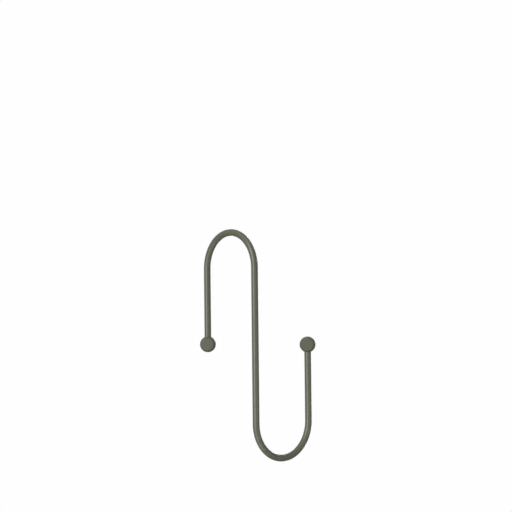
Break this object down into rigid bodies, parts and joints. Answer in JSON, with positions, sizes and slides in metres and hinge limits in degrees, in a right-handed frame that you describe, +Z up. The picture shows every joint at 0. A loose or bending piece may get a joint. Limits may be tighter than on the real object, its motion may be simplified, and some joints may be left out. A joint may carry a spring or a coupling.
{
  "type": "s hook",
  "caption": "Twisted S hook of round bar: one half-turn bend hangs over a rail, the other, turned a quarter about the shank, holds the load, and each tip ends in a flattened ball.",
  "frame": {"origin": "inside crown of the upper bend, where the hook sits on its rail, on the rod's inner surface", "axes": "+Z up along the shank, X across the upper bend with the shank on the +X side, Y along the rail, with the lower bend reaching towards +Y"},
  "size_m": [0.065, 0.065, 0.172],
  "materials": {
    "powder_coat": "satin olive grey powder coat over steel"
  },
  "bodies": {
    "root": {"hook": "powder_coat"}
  },
  "joints": []
}
